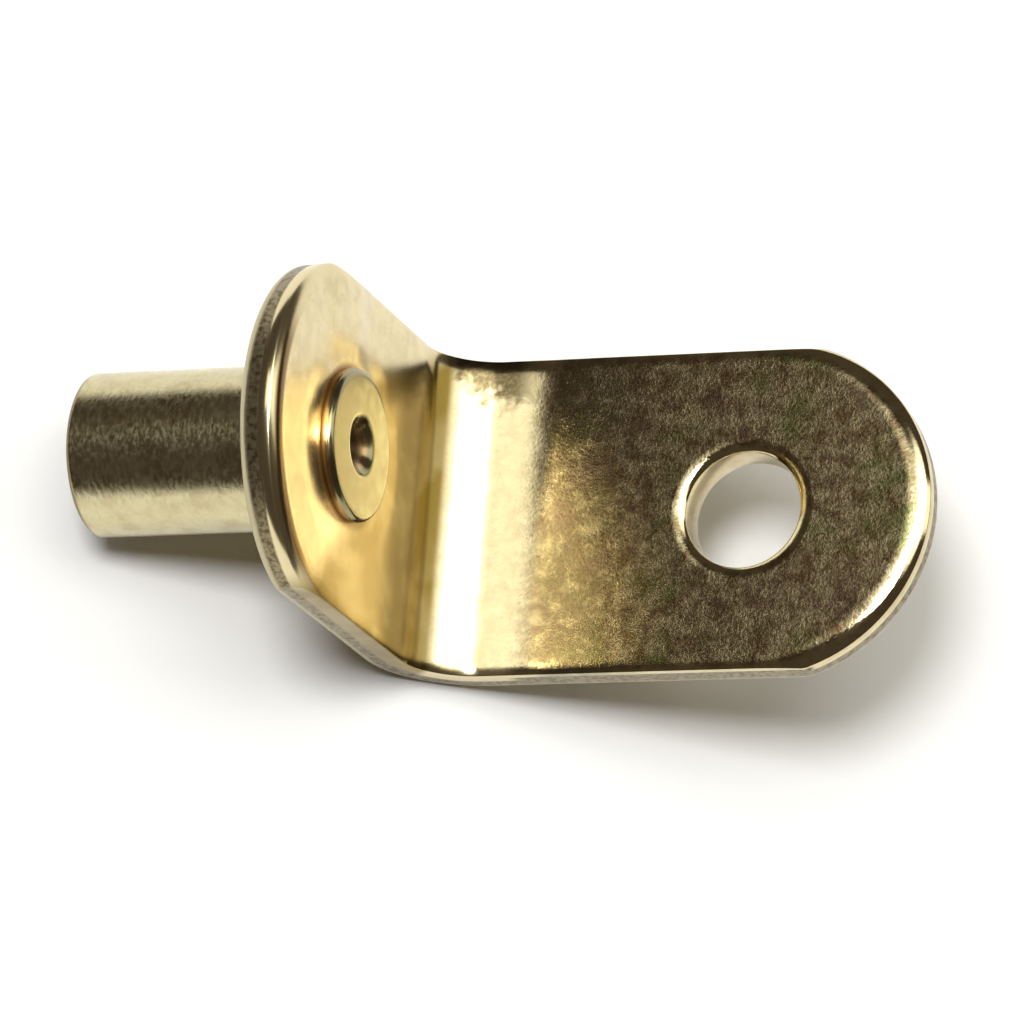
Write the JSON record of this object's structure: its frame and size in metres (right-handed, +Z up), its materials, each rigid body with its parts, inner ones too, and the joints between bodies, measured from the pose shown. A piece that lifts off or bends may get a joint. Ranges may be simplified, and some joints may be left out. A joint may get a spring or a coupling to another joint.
{
  "type": "shelf support pin",
  "caption": "L-shaped metal shelf support: a riveted pin plugs into the cabinet side and a flat arm with a screw hole carries the shelf.",
  "frame": {"origin": "on the pin's axis, in the face of the upright that seats on the cabinet side", "axes": "-X is the way the pin goes into the cabinet side, +X the way the arm reaches, +Z up, and Y across the strip"},
  "size_m": [0.0301, 0.0126, 0.0177],
  "materials": {
    "bracket": "brass plating on steel, glossy with fine pits and tarnish",
    "pin": "brass plating on steel, glossy, with fine turning marks"
  },
  "bodies": {
    "root": {"bracket": "bracket", "pin": "pin"}
  },
  "joints": []
}
